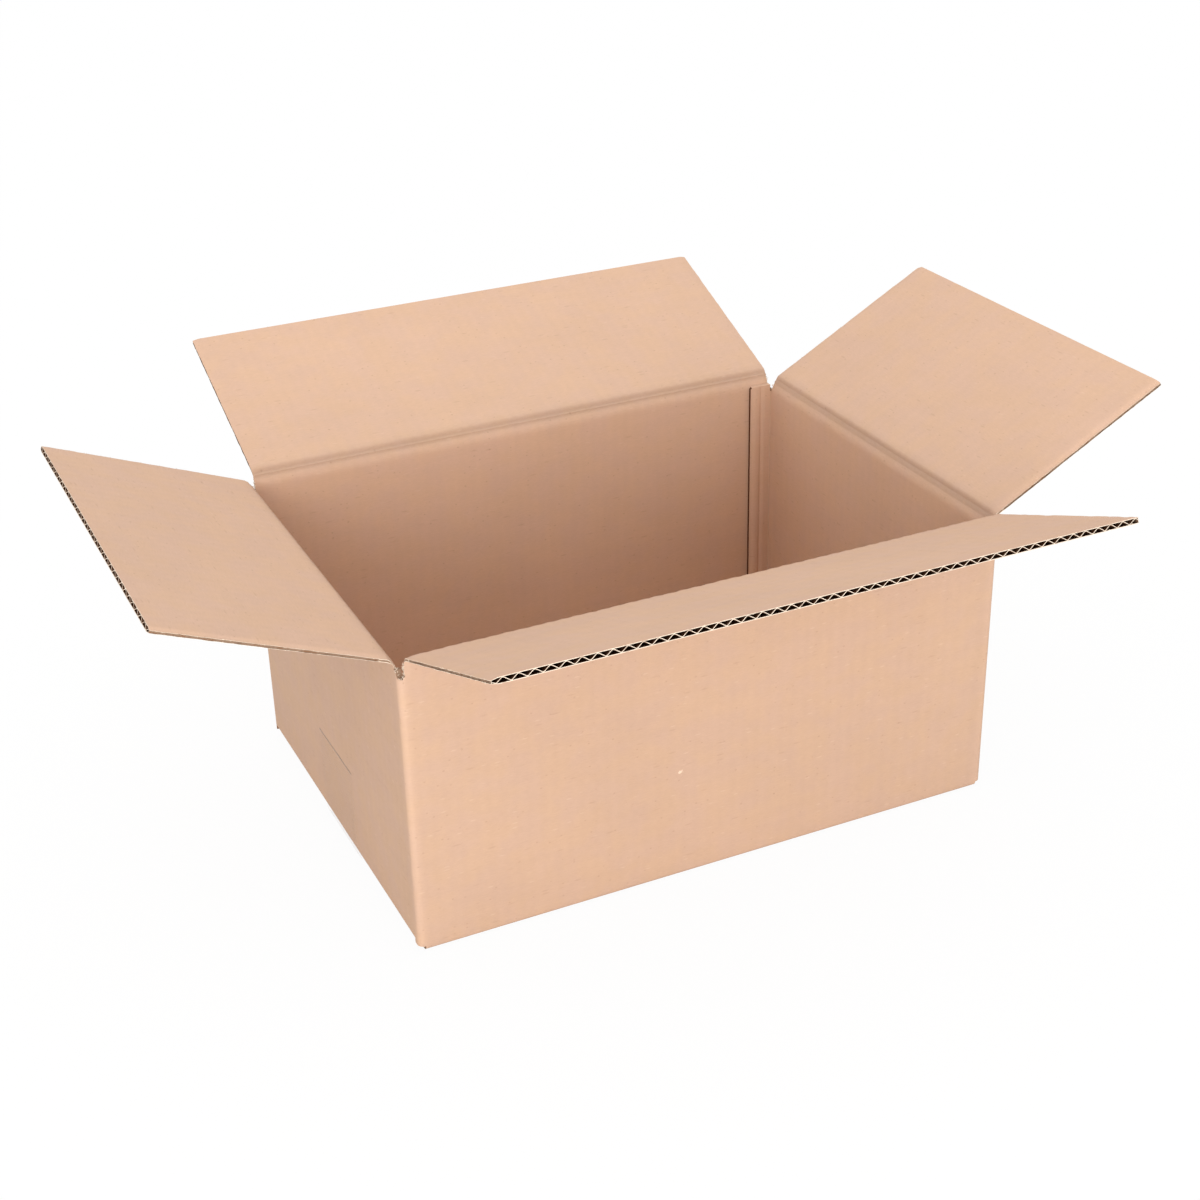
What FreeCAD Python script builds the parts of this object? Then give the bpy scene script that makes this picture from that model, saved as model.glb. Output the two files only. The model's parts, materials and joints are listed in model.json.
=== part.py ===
"""Open cardboard box: a slotted carton of single-wall corrugated board.

The blank is one sheet. Four walls are folded round and closed by a glue tab inside the
back right corner. The bottom flaps are folded under, short ones first, and held by one
strip of clear tape that runs along the seam and up both short walls. The four top flaps
stand open, each turning on its crease.

Frame: origin on the floor under the middle of the carton, +X along the long walls, the
front wall towards -Y, +Z up. Lengths are millimetres, angles are degrees.
"""
import FreeCAD, Part
import math
import os
from collections import namedtuple

V = FreeCAD.Vector

# The board
board = 2.7             # thickness over both liners
liner = 0.35            # thickness of each flat liner
medium = 0.3            # thickness of the fluted paper between them
flute_pitch = 6.5       # from one flute crest to the next
flute_tip = 1.1         # flat width at the narrow side of a channel

# The carton, over its outside
carton_length = 306.0
carton_width = 220.0
wall_height = 150.0     # floor to the top of the front and back walls
seam_gap = 6.0          # between the long flaps where they meet in the middle
layer_gap = 0.3         # between a short flap and the long flap that covers it
fold_radius_in = 0.8    # inside of every fold

# The slots between flaps
flap_clearance = 0.5    # from a closed flap's side to the wall beside it
slot_drop = 7.5         # how far each slot runs down past the long flaps' crease
front_slot_spare = 2.0  # the short flaps' front sides are cut this much further back
short_flap_trim = 3.0   # the short top flaps end this much before the blank's edge

# The creases that the top flaps turn on
hinge_gap = 0.15        # from the turning line to the flap
crease_gap = 0.3        # more room between the wall's top and the turning line
crease_zone = 7.0       # depth of flap next to the crease where the flutes are crushed

# How far each top flap is opened outward from upright
front_angle = 68.5
back_angle = 68.3
left_angle = 68.3
right_angle = 61.7

# The glue tab on the right wall, inside the back wall
tab_width = 12.5        # seen from inside
tab_drop = 4.0          # from the back wall's top down to the tab
tab_lift = 1.5          # from the short bottom flap up to the tab
tab_taper = 4.0         # corner cut off the tab's free end, top and bottom
back_edge_inset = 0.5   # the back wall's cut end stops short of the right wall's face
glue_bead = 0.3         # glue that fills the start of the wedge behind the fold

# The tape under the bottom
tape_width = 48.0
tape_thickness = 0.1
tape_offset = -3.0      # the strip lies off the middle, towards the front
tape_tail = 50.0        # height of its ends on the short walls

# Worked out from the sizes above
fold_radius_out = fold_radius_in + board
layer = board + layer_gap
slot_half = board + flap_clearance
half_length = carton_length / 2
half_width = carton_width / 2
flap_depth = (carton_width - seam_gap) / 2
ring_low = layer + fold_radius_out
tab_end = half_length - board - tab_width
spare = 1.0             # how far a cutting shape reaches past what it cuts

Side = namedtuple("Side", "name turn reach start end low top depth trim opened")


def make_sides():
    """The four walls: where each stands, where it runs, and its flaps' depth and angle."""
    long_run = half_length - slot_half
    short_run = half_width - slot_half
    front_run = short_run - front_slot_spare
    top = wall_height
    deep = flap_depth + layer
    return [
        Side("front", 0, half_width, -long_run, long_run, 0, top, flap_depth, 0, front_angle),
        Side("right", 90, half_length, -front_run, short_run - board,
             layer, top - layer, deep, short_flap_trim, right_angle),
        Side("back", 180, half_width, -long_run, long_run, 0, top, flap_depth, 0, back_angle),
        Side("left", 270, half_length, -short_run, front_run,
             layer, top - layer, deep, short_flap_trim, left_angle),
    ]


def rounded_face(corners, place):
    """A face from (a, b, radius) corners, each rounded to its radius; place makes 3D points."""
    flat = [V(a, b, 0) for a, b, _ in corners]
    stops, rounds = [], {}
    for i, (_, _, radius) in enumerate(corners):
        corner = flat[i]
        back = (flat[i - 1] - corner).normalize()
        ahead = (flat[(i + 1) % len(flat)] - corner).normalize()
        half = back.getAngle(ahead) / 2
        trim = radius / math.tan(half)
        crown = corner + (back + ahead).normalize() * (radius / math.sin(half) - radius)
        ends = [place(p.x, p.y) for p in (corner + back * trim, crown, corner + ahead * trim)]
        stops.append(ends)
        if radius:
            rounds[i] = Part.Arc(*ends).toShape()
    edges = []
    for i, (enter, _, leave) in enumerate(stops):
        if i in rounds:
            edges.append(rounds[i])
        edges.append(Part.LineSegment(leave, stops[(i + 1) % len(stops)][0]).toShape())
    return Part.Face(Part.Wire(edges))


def box(x0, x1, y0, y1, z0, z1):
    """A box between two corners."""
    return Part.makeBox(x1 - x0, y1 - y0, z1 - z0, V(x0, y0, z0))


def wall_bar(side, corners):
    """Extrude an (outward, up) outline along a wall's run, and stand it at that wall."""
    face = rounded_face(corners, lambda out, up: V(side.start, -side.reach - out, up))
    bar = face.extrude(V(side.end - side.start, 0, 0))
    bar.rotate(V(0, 0, 0), V(0, 0, 1), side.turn)
    return bar


def sleeve(low, high):
    """The four walls and the glue tab as one folded strip, between two heights."""
    length, width = half_length, half_width
    inner_length, inner_width = length - board, width - board
    joint = -length + 2 * fold_radius_out
    big, small = fold_radius_out, fold_radius_in
    strip = rounded_face([
        (tab_end, inner_width, 0),
        (tab_end, inner_width - board, 0),
        (inner_length, inner_width - board, small),
        (inner_length, -inner_width, small),
        (-inner_length, -inner_width, small),
        (-inner_length, inner_width, small),
        (joint, inner_width, 0),
        (joint, width, 0),
        (-length, width, big),
        (-length, -width, big),
        (length, -width, big),
        (length, inner_width, big),
    ], lambda x, y: V(x, y, low)).extrude(V(0, 0, high - low))
    back_wall = box(joint, length - back_edge_inset, inner_width, width, low, high)
    wedge = math.sqrt(big ** 2 - (big - glue_bead) ** 2)
    start = length - big
    bead = box(start - spare, start + wedge, inner_width - glue_bead, inner_width, low, high)
    return strip.fuse([back_wall, bead]).removeSplitter()


def corner_boxes(low, high):
    """Boxes over the four corners, as wide as the slots there."""
    boxes = []
    for right in (False, True):
        for rear in (False, True):
            more = (board if right else 0) if rear else front_slot_spare
            x = half_length - slot_half
            y = half_width - slot_half - more
            x0, x1 = (x, half_length + spare) if right else (-half_length - spare, -x)
            y0, y1 = (y, half_width + spare) if rear else (-half_width - spare, -y)
            boxes.append(box(x0, x1, y0, y1, low, high))
    return boxes


def foot(side):
    """The lower edge of a wall, its rounded fold and its bottom flap."""
    high = ring_low + spare
    return wall_bar(side, [
        (0, high, 0),
        (0, side.low, fold_radius_out),
        (-side.depth, side.low, 0),
        (-side.depth, side.low + board, 0),
        (-board, side.low + board, fold_radius_in),
        (-board, high, 0),
    ])


def crease_cut(side):
    """What comes off a wall's top, so that the flap can fold over it with a mitre."""
    high = wall_height + spare
    return wall_bar(side, [
        (spare, side.top, 0),
        (0, side.top, 0),
        (-board, side.top - board, 0),
        (-board - spare, side.top - board, 0),
        (-board - spare, high, 0),
        (spare, high, 0),
    ])


def tab_cuts():
    """What comes off the glue tab: above it, below it, and its two tapered corners."""
    near = half_width - 2 * board - spare
    far = half_width - board
    root = half_length - slot_half
    end = tab_end - spare
    top = wall_height - tab_drop
    bottom = layer + board + tab_lift
    floor = box(end, root, near, far, ring_low - spare, bottom)
    roof = box(end, root, near, far, top, wall_height + spare)
    cuts = [floor, roof]
    for level, way in ((top, -1), (bottom, 1)):
        cuts.append(rounded_face([
            (tab_end - spare, level, 0),
            (tab_end + tab_taper, level, 0),
            (tab_end, level + way * tab_taper, 0),
            (tab_end - spare, level + way * tab_taper, 0),
        ], lambda x, z: V(x, near, z)).extrude(V(0, far - near, 0)))
    return cuts


def bottom_tape():
    """The clear strip: along the bottom seam and up both short walls."""
    length, thick, low_radius = half_length, tape_thickness, slot_half
    edge = tape_offset - tape_width / 2
    return rounded_face([
        (-length - thick, tape_tail, 0),
        (-length - thick, 0, low_radius + thick),
        (length + thick, 0, low_radius + thick),
        (length + thick, tape_tail, 0),
        (length, tape_tail, 0),
        (length, thick, low_radius),
        (-length, thick, low_radius),
        (-length, tape_tail, 0),
    ], lambda x, z: V(x, edge, z)).extrude(V(0, tape_width, 0))


def carton_body(sides, tape):
    """Walls, glue tab and bottom flaps: everything of the blank that doesn't move."""
    walls = sleeve(ring_low, wall_height)
    columns = [sleeve(layer, ring_low).common(corner) for corner in corner_boxes(0, wall_height)]
    body = walls.fuse(columns + [foot(side) for side in sides])
    slot_floor = wall_height - slot_drop
    cuts = corner_boxes(slot_floor, wall_height + spare) + tab_cuts()
    cuts += [crease_cut(side) for side in sides]
    return body.cut(cuts).cut(tape).removeSplitter()


def hinge_height(side):
    """Height of the line that a top flap turns on."""
    return side.top + crease_gap + hinge_gap


def channel_wires(side, level):
    """Outlines of the open channels between the liners, at one height on a flap."""
    rise = board - 2 * liner
    slope = math.hypot(rise, flute_pitch / 2)
    wide = flute_pitch / 2 - medium * slope / rise / 2
    tip = flute_tip / 2
    depth = rise * (wide - tip) / (flute_pitch / 2)
    count = int((side.end - side.start - 2 * liner) / flute_pitch)
    middle = (side.start + side.end) / 2
    wires = []
    for i in range(2 * count - 1):
        centre = middle + (i - count + 1) * flute_pitch / 2
        base, way = (-liner, -1) if i % 2 == 0 else (liner - board, 1)
        across = [(centre - wide, base), (centre + wide, base),
                  (centre + tip, base + way * depth), (centre - tip, base + way * depth)]
        corners = [V(run, -side.reach - out, level) for run, out in across]
        wires.append(Part.makePolygon(corners + corners[:1]))
    return wires


def top_flap(side):
    """One top flap: a solid crushed root with a mitred edge, then open flutes to its end."""
    hinge = hinge_height(side)
    root_top = hinge + crease_zone
    root = rounded_face([
        (0, hinge + hinge_gap, 0),
        (0, root_top, 0),
        (-board, root_top, 0),
        (-board, hinge + hinge_gap + board, 0),
    ], lambda out, up: V(side.start, -side.reach - out, up))
    root = root.extrude(V(side.end - side.start, 0, 0))
    near, far = -side.reach, -side.reach + board
    rim = [V(side.start, near, root_top), V(side.end, near, root_top),
           V(side.end, far, root_top), V(side.start, far, root_top)]
    outlines = [Part.makePolygon(rim + rim[:1])] + channel_wires(side, root_top)
    section = Part.makeFace(outlines, "Part::FaceMakerBullseye")
    panel = section.extrude(V(0, 0, side.depth - side.trim - crease_zone))
    flap = root.fuse(panel).removeSplitter()
    flap.rotate(V(0, -side.reach - hinge_gap, hinge), V(1, 0, 0), side.opened)
    flap.rotate(V(0, 0, 0), V(0, 0, 1), side.turn)
    return flap


def save(name, shape):
    """Write one sub-part, and say what it holds."""
    shape.exportStep("parts/" + name + ".step")
    print(name, "solids", len(shape.Solids), "valid", shape.isValid(),
          "volume", round(shape.Volume, 1))


def main():
    os.makedirs("parts", exist_ok=True)
    sides = make_sides()
    tape = bottom_tape()
    save("bottom_tape", tape)
    save("carton_body", carton_body(sides, tape))
    for side in sides:
        save(side.name + "_top_flap", top_flap(side))


main()
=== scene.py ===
"""Open cardboard box: the looks of a slotted carton whose walls, creases and open flutes show.

Lengths are metres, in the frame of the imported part: +X along the long walls, the front wall
towards -Y, +Z up, the floor at Z 0. A place on the blank is given as (run, rise): run goes
rightwards round the outside of the walls, rise goes up the walls and on into the flaps.
"""

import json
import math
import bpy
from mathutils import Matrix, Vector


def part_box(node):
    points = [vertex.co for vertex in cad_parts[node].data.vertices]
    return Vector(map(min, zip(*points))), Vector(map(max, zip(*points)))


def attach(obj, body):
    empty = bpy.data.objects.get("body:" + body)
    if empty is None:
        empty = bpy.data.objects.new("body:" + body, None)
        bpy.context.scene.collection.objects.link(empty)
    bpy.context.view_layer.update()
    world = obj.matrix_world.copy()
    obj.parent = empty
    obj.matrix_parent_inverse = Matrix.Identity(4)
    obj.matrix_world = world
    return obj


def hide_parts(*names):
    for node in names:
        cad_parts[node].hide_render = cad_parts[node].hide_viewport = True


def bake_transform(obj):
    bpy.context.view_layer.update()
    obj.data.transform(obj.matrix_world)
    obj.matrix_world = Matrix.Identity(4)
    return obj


bl_info = {
    "name": "Open carton",
    "version": (1, 0, 0),
    "blender": (4, 5, 0),
    "location": "View3D > Sidebar > Carton",
    "description": "Builds an open carton of corrugated board round its packed frame",
    "category": "Object",
}

from typing import NamedTuple

import bpy
import numpy as np
from bpy.props import FloatProperty, FloatVectorProperty, PointerProperty
from mathutils import Matrix, Vector

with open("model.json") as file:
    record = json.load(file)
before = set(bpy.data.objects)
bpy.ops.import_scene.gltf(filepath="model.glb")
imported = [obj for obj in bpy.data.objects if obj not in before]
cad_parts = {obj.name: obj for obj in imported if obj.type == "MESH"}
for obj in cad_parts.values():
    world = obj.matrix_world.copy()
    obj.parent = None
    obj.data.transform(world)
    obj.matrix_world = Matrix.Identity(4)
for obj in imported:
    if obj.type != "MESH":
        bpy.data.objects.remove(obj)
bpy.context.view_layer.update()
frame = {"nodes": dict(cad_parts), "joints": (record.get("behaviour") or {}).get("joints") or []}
UP = Vector((0, 0, 1))
TINY = 1e-6
# Places of the papers in every piece of board, in the order of board_materials()
OUTSIDE, INSIDE, CUT, MEDIUM, CRUSHED = range(5)


class Crease(NamedTuple):
    """One top flap's crease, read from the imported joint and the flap's solid."""
    name: str
    origin: Vector      # on the turning line, in the middle of the wall
    along: Vector       # the run's direction, rightwards seen from outside
    out: Vector         # away from the carton
    opened: float       # how far the flap stands open from upright
    start: float        # the flap's sides, along the run
    end: float
    depth: float        # from the turning line to the flap's cut edge
    skin: float         # from the turning line in to the outer liner
    board: float        # the flap's thickness

    @property
    def flap(self):
        """Unit vector from the crease to the flap's cut edge."""
        return self.out * math.sin(self.opened) + UP * math.cos(self.opened)

    @property
    def inward(self):
        """Unit vector through the flap's thickness, to the face that was inside."""
        return UP * math.sin(self.opened) - self.out * math.cos(self.opened)

    @property
    def face(self):
        """The point of the wall's outer face straight below the turning line's middle."""
        return self.origin - self.out * self.skin


def read_creases():
    """The four creases by side, from the joints and the flaps' own vertices."""
    found = {}
    for joint in frame["joints"]:
        side = joint["child"].removesuffix("_flap")
        origin, along = Vector(joint["pos_m"]), Vector(joint["axis"])
        opened = -math.radians(joint["range_deg"][0]) - math.pi / 2
        crease = Crease(side, origin, along, along.cross(UP), opened, 0, 0, 0, 0, 0)
        reach = [v.co - origin for v in frame["nodes"][side + "_top_flap"].data.vertices]
        runs = [point.dot(along) for point in reach]
        depths = [point.dot(crease.flap) for point in reach]
        through = [point.dot(crease.inward) for point in reach]
        found[side] = crease._replace(start=min(runs), end=max(runs), depth=max(depths),
                                      skin=min(through), board=max(through) - min(through))
    return found


CREASES = read_creases()
BODY_LOW, BODY_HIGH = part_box("carton_body")
TAPE_LOW, TAPE_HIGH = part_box("bottom_tape")


def linear(red, green, blue):
    """A screen colour, 0 to 255, as the linear colour that a shader takes."""
    return tuple(((c / 255 + 0.055) / 1.055) ** 2.4 for c in (red, green, blue))


def length(label, text, default):
    """A size in metres."""
    return FloatProperty(name=label, description=text, default=default, unit="LENGTH", precision=5)


def share(label, text, default):
    """A plain number between 0 and 1 or a little more."""
    return FloatProperty(name=label, description=text, default=default, min=0.0, soft_max=1.0)


def colour(label, text, default):
    """A linear colour."""
    return FloatVectorProperty(name=label, description=text, default=default, subtype="COLOR",
                               min=0.0, max=1.0)


def place(label, text, default):
    """A point in metres."""
    return FloatVectorProperty(name=label, description=text, default=default,
                               subtype="TRANSLATION", precision=5)


class BoardSizes(bpy.types.PropertyGroup):
    """The corrugated board and the folds of the blank."""
    board: length("Board", "Thickness over both liners", CREASES["front"].board)
    liner: length("Liner", "Thickness of each flat liner", 0.00028)
    medium: length("Medium", "Thickness of the fluted paper", 0.00024)
    pitch: length("Flute pitch", "From one flute crest to the next", 0.0065)
    fold: length("Fold radius", "Outside radius of every fold", BODY_HIGH.x - CREASES["front"].end)
    layer_gap: length("Layer gap", "Between a short bottom flap and the long one under it", 0.0003)
    open_flutes: length("Open flutes", "Depth of open flutes at a bottom flap's end", 0.012)
    seam: length("Seam", "Gap between the long bottom flaps", 0.006)
    cell: length("Cell", "Largest face of the blank's mesh", 0.012)


class CutSizes(bpy.types.PropertyGroup):
    """What the knives did to the board at slots, side edges and corners."""
    slot_drop: length("Slot drop", "How far the slots run down past the long walls' top", 0.0075)
    ragged: length("Ragged", "How far a cut liner strays from its line", 0.00022)
    pinch: share("Pinch", "Share of the thickness left where a knife ran along the flutes", 0.5)
    open_side: share("Open side", "The same, at the front flap's right side", 0.92)
    pinch_reach: length("Pinch reach", "How far in from such a cut the board is thinner", 0.0036)
    corner: length("Corner", "Radius that the flaps' corners are worn to", 0.0007)
    blunt: length("Blunt corner", "More radius at the right flap's back corner", 0.0022)
    fibre: length("Fibre", "Length of the fibres that stand out of a cut", 0.0011)
    fibre_width: length("Fibre width", "Thickness of those fibres", 0.0002)
    fuzz: share("Fuzz", "Share of places along a slot with a fibre", 0.55)


class CreaseSizes(bpy.types.PropertyGroup):
    """The creases that the top flaps turn on."""
    foot: length("Foot", "From the long walls' top down to the crease piece's lower end", 0.010)
    neck: length("Neck", "Thickness of the crushed board on the turning line", 0.0008)
    wall_groove: length("Wall groove", "How far down the wall the board is crushed", 0.0070)
    flap_groove: length("Flap groove", "How far out on the flap the board is crushed", 0.0034)
    root: length("Root", "From the turning line to the open flutes of the flap", 0.007)
    bend: length("Bend", "Half the width that bends when the flap turns", 0.0008)
    dimple: length("Dimple", "How much deeper the crease is over each crushed flute", 0.00010)


class TabSizes(bpy.types.PropertyGroup):
    """The glue tab on the right wall, behind the back wall's inner face."""
    width: length("Width", "Seen from inside, past the slot", 0.012)
    drop: length("Drop", "From the back wall's top down to the tab", 0.0038)
    low: length("Low end", "Height of the tab's lower end", 0.0072)
    taper: length("Taper", "Corner cut off the free end, top and bottom", 0.0012)
    glue: length("Glue", "Room for the glue between tab and back wall", 0.00005)
    inset: length("Inset", "The back wall's cut end stops short of the corner", 0.0005)
    score: length("Score", "From the free end to the pressed line down the tab", 0.0066)
    score_depth: length("Score depth", "Depth of that line", 0.0006)


class PaperFinish(bpy.types.PropertyGroup):
    """Colours and grain of the paper."""
    # The two liners are one paper: the inner liner's paler tone is painted light.
    outside: colour("Outside liner", "Colour of the outer liner", linear(184, 152, 128))
    inside: colour("Inside liner", "Colour of the inner liner", linear(205, 170, 144))
    # The fluted paper's own colour, darkened as painted shade of the flute hollows.
    medium: colour("Medium", "Colour of the fluted paper", linear(98, 62, 38))
    cut: colour("Cut edge", "Colour of cut paper", linear(222, 204, 184))
    # The crushed tone is the pressed paper's own; on the pinched sides it also stands for the gap
    # between the liners: painted shade.
    crushed: colour("Crushed edge", "Colour of a side where the board was pressed and cut",
                    linear(140, 113, 92))
    speck: colour("Speck", "Colour of the bark specks in the paper", linear(124, 88, 62))
    pale: colour("Pale fibre", "Colour of the palest fibres", linear(224, 198, 174))
    mottle: share("Mottle", "How much the colour changes in patches", 0.11)
    tint: share("Tint", "How much the hue changes in patches", 0.014)
    grain: share("Grain", "How much the fibres change the colour", 0.13)
    # Painted highlight along the rounded folds, partly the stretched liner.
    fold_pale: share("Paler folds", "How much paler the outside is along the folds", 0.05)
    washboard: share("Washboard", "How much the flutes show through the liner", 0.006)
    scuff: place("Scuff", "A small rubbed spot on the front wall", (-0.0193, BODY_LOW.y, 0.0581))
    scuff_size: length("Scuff size", "Radius of that spot", 0.0013)


class TapeFinish(bpy.types.PropertyGroup):
    """The clear tape along the bottom seam."""
    film: colour("Film", "Colour of the film", linear(192, 164, 134))
    # The torn ends' dark colour is painted shade of the film's edge.
    edge: colour("Edge", "Colour of the film's torn ends", linear(112, 82, 60))
    cover: share("Cover", "How much of the board the film hides", 0.07)
    edge_cover: share("Edge cover", "How much of it the torn ends hide", 0.5)
    tooth: length("Tooth", "Pitch of the teeth that the tape was torn on", 0.0016)
    tear: length("Tear", "Depth of the torn teeth", 0.0005)


class StageSettings(bpy.types.PropertyGroup):
    """Camera, lamp and floor."""
    camera: place("Camera place", "Where the camera stands", (-0.37872, -0.80384, 0.55313))
    aim: place("Camera aim", "The point in the picture's middle", (-0.00771, 0.0, 0.09526))
    roll: FloatProperty(name="Camera roll", description="Turn about the line of sight",
                        default=math.radians(-1.4756), subtype="ANGLE")
    lens: FloatProperty(name="Lens", description="Focal length on a 36 mm sensor", default=59.30)
    sky: FloatProperty(name="Sky", description="Strength of the even light", default=1.15)
    lamp: place("Lamp place", "Where the large soft lamp stands", (-0.785, -1.765, 0.25))
    lamp_size: length("Lamp size", "Width of the lamp", 1.3)
    lamp_power: FloatProperty(name="Lamp power", description="Power of the lamp in watts",
                              default=32.5)
    floor_half: length("Floor", "Half the floor's side", 3.0)
    floor_drop: length("Floor drop", "The floor lies this far under the carton", 0.0002)
    floor_clean: share("Clean floor", "How much of the floor is plain white to the camera", 0.94)


class Carton(bpy.types.PropertyGroup):
    """All the settings of the carton."""
    board: PointerProperty(type=BoardSizes)
    cut: PointerProperty(type=CutSizes)
    crease: PointerProperty(type=CreaseSizes)
    tab: PointerProperty(type=TabSizes)
    paper: PointerProperty(type=PaperFinish)
    tape: PointerProperty(type=TapeFinish)
    stage: PointerProperty(type=StageSettings)


def settings():
    """The carton's settings on the scene."""
    return bpy.context.scene.carton


class Wire:
    """One socket of a node tree. Arithmetic on it adds Math nodes."""

    def __init__(self, graph, socket):
        self.graph = graph
        self.socket = socket

    def __add__(self, other):
        return self.graph.maths("ADD", self, other)

    def __sub__(self, other):
        return self.graph.maths("SUBTRACT", self, other)

    def __rsub__(self, other):
        return self.graph.maths("SUBTRACT", other, self)

    def __mul__(self, other):
        return self.graph.maths("MULTIPLY", self, other)

    def __truediv__(self, other):
        return self.graph.maths("DIVIDE", self, other)

    __radd__ = __add__
    __rmul__ = __mul__

    def between(self, low, high):
        """A smooth step of this value, from 0 at low to 1 at high."""
        kind = {"interpolation_type": "SMOOTHSTEP", "clamp": True}
        return self.graph.add("ShaderNodeMapRange", kind, self, low, high, 0.0, 1.0).out()


class Made:
    """A node that was added to a tree."""

    def __init__(self, graph, node):
        self.graph = graph
        self.node = node

    def out(self, name=None):
        """The output of that name, or the first one that is in use."""
        usable = [s for s in self.node.outputs if not s.is_unavailable]
        found = usable[0] if name is None else next(s for s in usable if s.name == name)
        return Wire(self.graph, found)


class Graph:
    """A node tree that is written as expressions."""

    def __init__(self, tree):
        self.tree = tree
        tree.nodes.clear()

    def add(self, kind, options=None, *values, **named):
        """Add a node: its settings first, then its sockets in order or by name."""
        node = self.tree.nodes.new(kind)
        for key, value in (options or {}).items():
            setattr(node, key, value)
        usable = [s for s in node.inputs if not s.is_unavailable]
        for socket, value in zip(usable, values):
            self.feed(socket, value)
        for key, value in named.items():
            label = key.replace("_", " ").lower()
            self.feed(next(s for s in usable if s.name.lower() == label), value)
        return Made(self, node)

    def feed(self, socket, value):
        """Link a wire, several wires or a plain value to a socket."""
        if value is None:
            return
        if isinstance(value, Made):
            value = value.out()
        if isinstance(value, list):
            for one in value:
                self.feed(socket, one)
        elif isinstance(value, Wire):
            self.tree.links.new(value.socket, socket)
        elif socket.type == "RGBA" and len(value) == 3:
            socket.default_value = (*value, 1.0)
        else:
            socket.default_value = value

    def maths(self, operation, *values):
        """A Math node on one or more values."""
        return self.add("ShaderNodeMath", {"operation": operation}, *values).out()

    def vector_maths(self, operation, *values, **named):
        """A Vector Math node."""
        return self.add("ShaderNodeVectorMath", {"operation": operation}, *values, **named)

    def split(self, vector):
        """The three parts of a vector."""
        parts = self.add("ShaderNodeSeparateXYZ", None, vector)
        return parts.out("X"), parts.out("Y"), parts.out("Z")

    def vector(self, x, y, z):
        """A vector from its three parts."""
        return self.add("ShaderNodeCombineXYZ", None, x, y, z).out()

    def mix(self, factor, first, second):
        """Mix two colours."""
        return self.add("ShaderNodeMix", {"data_type": "RGBA"}, factor, first, second).out()

    def noise(self, vector, scale, detail=2.0, rough=0.5):
        """Noise around 0 on a vector, about 0.3 each way."""
        made = self.add("ShaderNodeTexNoise", {"noise_dimensions": "3D"}, Vector=vector,
                        Scale=scale, Detail=detail, Roughness=rough)
        return made.out() - 0.5

    def stretch(self, vector, scales):
        """Scale a vector by its axes."""
        return self.vector_maths("MULTIPLY", vector, scales).out()

    def scaled(self, tone, level):
        """A colour made lighter or darker by a level."""
        return self.vector_maths("SCALE", tone, Scale=level).out()

    def spots(self, vector, chosen, size):
        """Round spots in some of a vector's unit cells: the share of cells, and their radius."""
        cells = self.add("ShaderNodeTexVoronoi", {"feature": "F1"}, Vector=vector, Scale=1.0)
        chance = self.add("ShaderNodeSeparateColor", None, cells.out("Color")).out("Red")
        kept = chance.between(1.0 - chosen, 1.0 - chosen * 0.3)
        return (1.0 - cells.out("Distance").between(size * 0.3, size)) * kept


def new_material(name):
    """A material with an empty tree, and its graph."""
    old = bpy.data.materials.get(name)
    if old:
        bpy.data.materials.remove(old)
    material = bpy.data.materials.new(name)
    material.use_nodes = True
    return material, Graph(material.node_tree)


def finish_material(graph, tone, roughness, height, distance, shine, alpha=1.0):
    """Close a material: a principled shader, its bump and the output."""
    normal = graph.add("ShaderNodeBump", None, Strength=1.0, Distance=distance, Height=height)
    shader = graph.add("ShaderNodeBsdfPrincipled", None, Base_Color=tone, Roughness=roughness,
                       Alpha=alpha, Normal=normal, Specular_IOR_Level=shine)
    graph.add("ShaderNodeOutputMaterial", None, Surface=shader)


def rubbed_spot(graph, blank, felt):
    """A mask of the small rubbed spot on the front wall, ragged at its edge."""
    paper = settings().paper
    middles = walls_from_above()[1]
    centre = (middles["front"] + paper.scuff.x, paper.scuff.z, 0.0)
    away = graph.vector_maths("DISTANCE", blank, centre).out("Value") + felt * 0.006
    return 1.0 - away.between(paper.scuff_size * 0.3, paper.scuff_size)


def worn_folds(graph, run):
    """A soft mask along the three folds of the walls, for a painted highlight where the rounded fold
    catches the light and for the stretched outer liner.
    """
    board = settings().board
    middles = walls_from_above()[1]
    reach = {"back": BODY_HIGH.x, "left": BODY_HIGH.y, "front": BODY_HIGH.x}
    mask = 0.0
    for side, half in reach.items():
        centre = middles[side] + half - board.fold * (1 - math.pi / 4)
        away = graph.maths("ABSOLUTE", run - centre)
        mask = graph.maths("MAXIMUM", 1.0 - away.between(0.0015, 0.006), mask)
    return mask


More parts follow.
